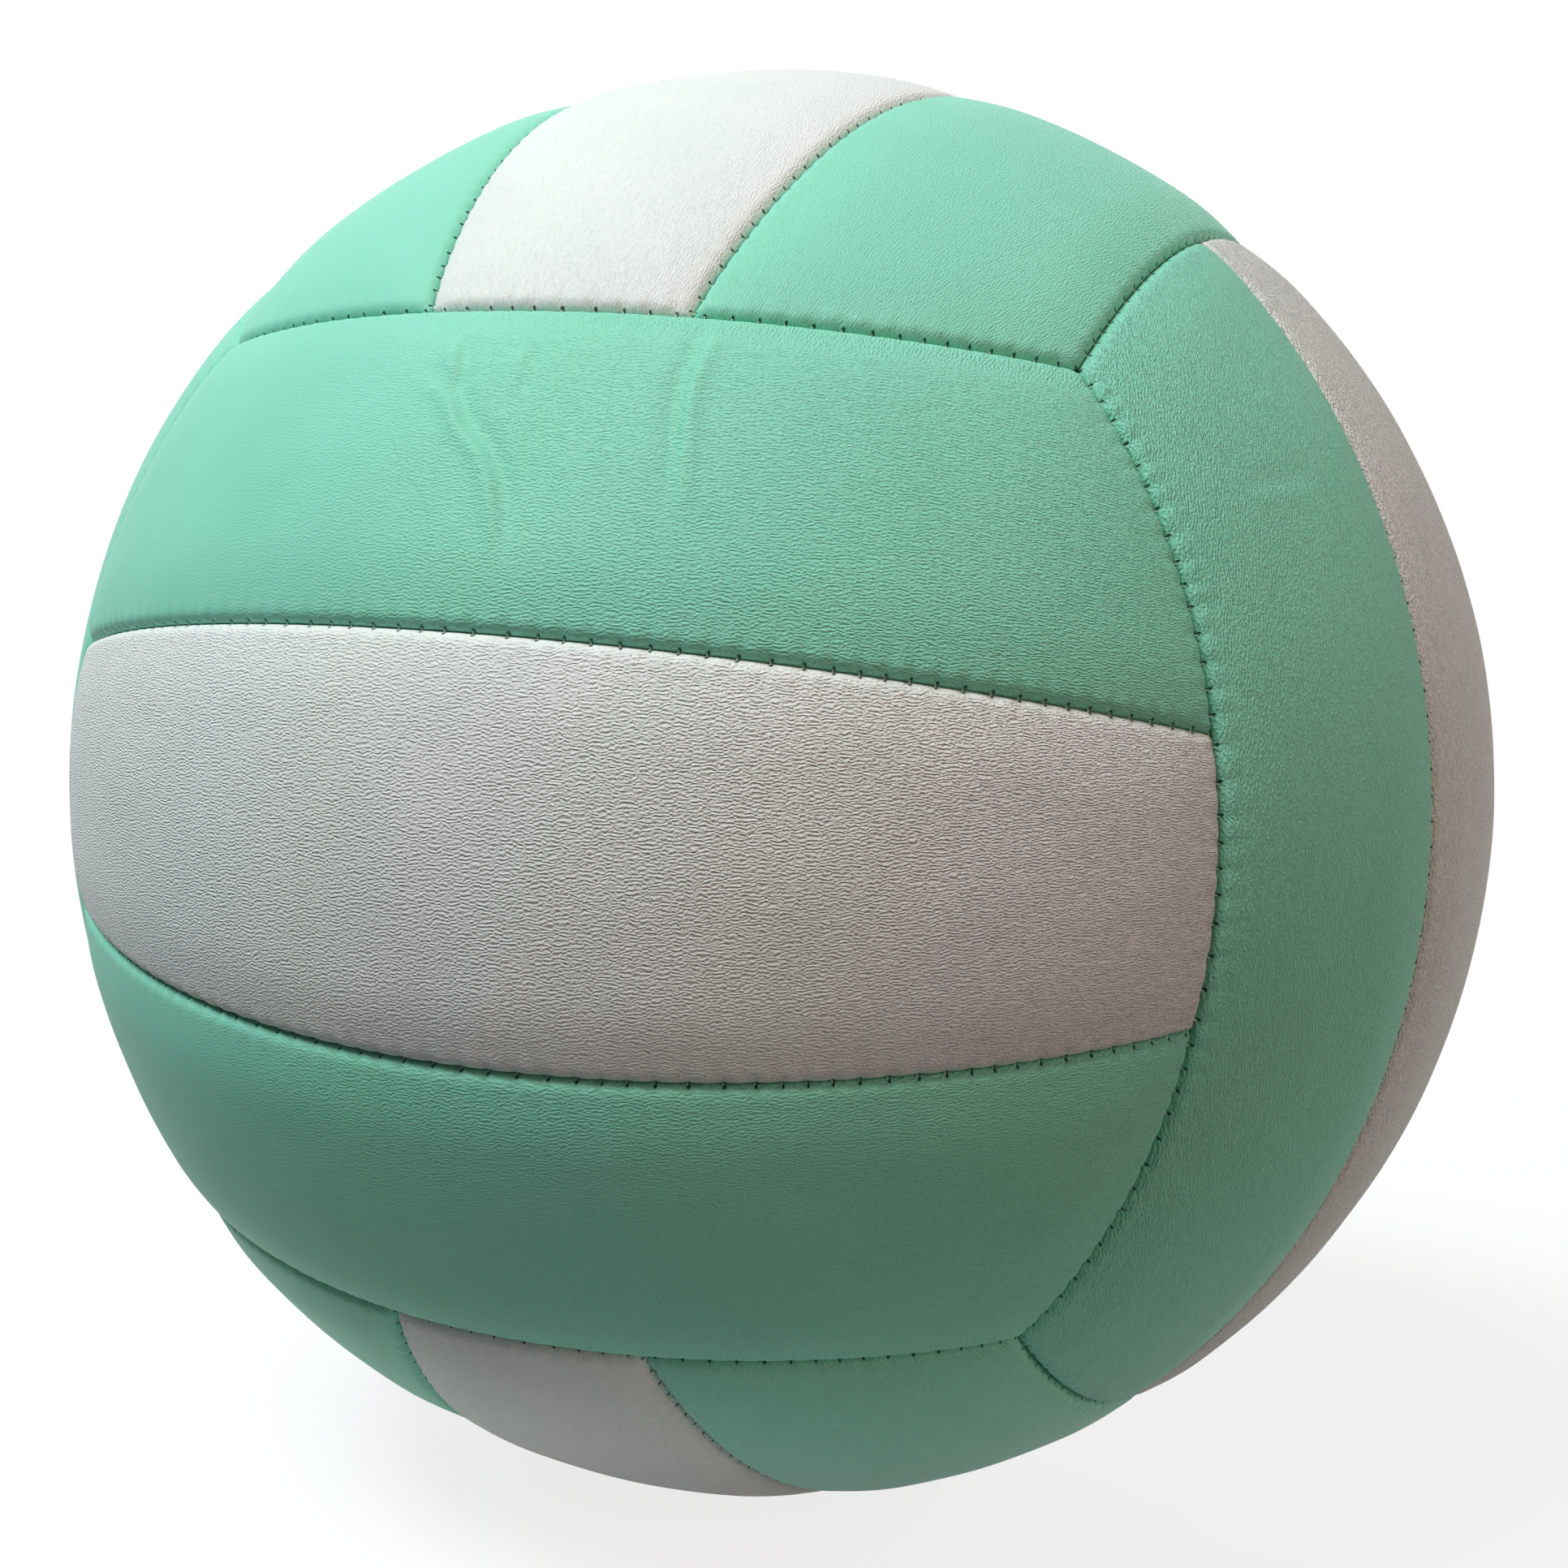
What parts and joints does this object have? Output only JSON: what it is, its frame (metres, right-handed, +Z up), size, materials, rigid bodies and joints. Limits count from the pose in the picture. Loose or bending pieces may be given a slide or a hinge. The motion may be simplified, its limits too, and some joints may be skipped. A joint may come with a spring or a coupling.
{
  "type": "volleyball",
  "caption": "Sewn volleyball with mint green and white synthetic leather panels in parallel strips, foam backing, rubber bladder and needle valve.",
  "frame": {"origin": "centre of the ball", "axes": "+Z up; the front face looks along -Y with its panels level; the valve's axis is +Y"},
  "size_m": [0.21, 0.2099, 0.21],
  "materials": {
    "skin_mint": "soft matte grained synthetic leather",
    "skin_white": "soft matte grained synthetic leather",
    "backing_foam": "closed-cell foam with a woven cloth lining",
    "thread": "waxed twisted polyester thread",
    "bladder_rubber": "smooth butyl rubber",
    "patch_cloth": "rubberised cotton",
    "valve_rubber": "matte moulded rubber",
    "core_rubber": "smooth soft rubber"
  },
  "bodies": {
    "root": {"panel_top_left": "skin_mint", "panel_top_middle": "skin_white", "panel_top_right": "skin_mint", "panel_bottom_left": "skin_mint", "panel_bottom_middle": "skin_white", "panel_bottom_right": "skin_mint", "panel_right_front": "skin_mint", "panel_right_middle": "skin_white", "panel_right_back": "skin_mint", "panel_left_back": "skin_mint", "panel_left_middle": "skin_white", "panel_left_front": "skin_mint", "panel_front_lower": "skin_mint", "panel_front_middle": "skin_white", "panel_front_upper": "skin_mint", "panel_back_lower": "skin_mint", "panel_back_middle": "skin_white", "panel_back_upper": "skin_mint", "backing_top_left": "backing_foam", "backing_top_middle": "backing_foam", "backing_top_right": "backing_foam", "backing_bottom_left": "backing_foam", "backing_bottom_middle": "backing_foam", "backing_bottom_right": "backing_foam", "backing_right_front": "backing_foam", "backing_right_middle": "backing_foam", "backing_right_back": "backing_foam", "backing_left_back": "backing_foam", "backing_left_middle": "backing_foam", "backing_left_front": "backing_foam", "backing_front_lower": "backing_foam", "backing_front_middle": "backing_foam", "backing_front_upper": "backing_foam", "backing_back_lower": "backing_foam", "backing_back_middle": "backing_foam", "backing_back_upper": "backing_foam", "thread_top": "thread", "thread_bottom": "thread", "thread_right": "thread", "thread_left": "thread", "thread_front": "thread", "thread_back": "thread", "bladder": "bladder_rubber", "valve_patch": "patch_cloth", "valve_base": "valve_rubber", "valve_core": "core_rubber"}
  },
  "joints": []
}
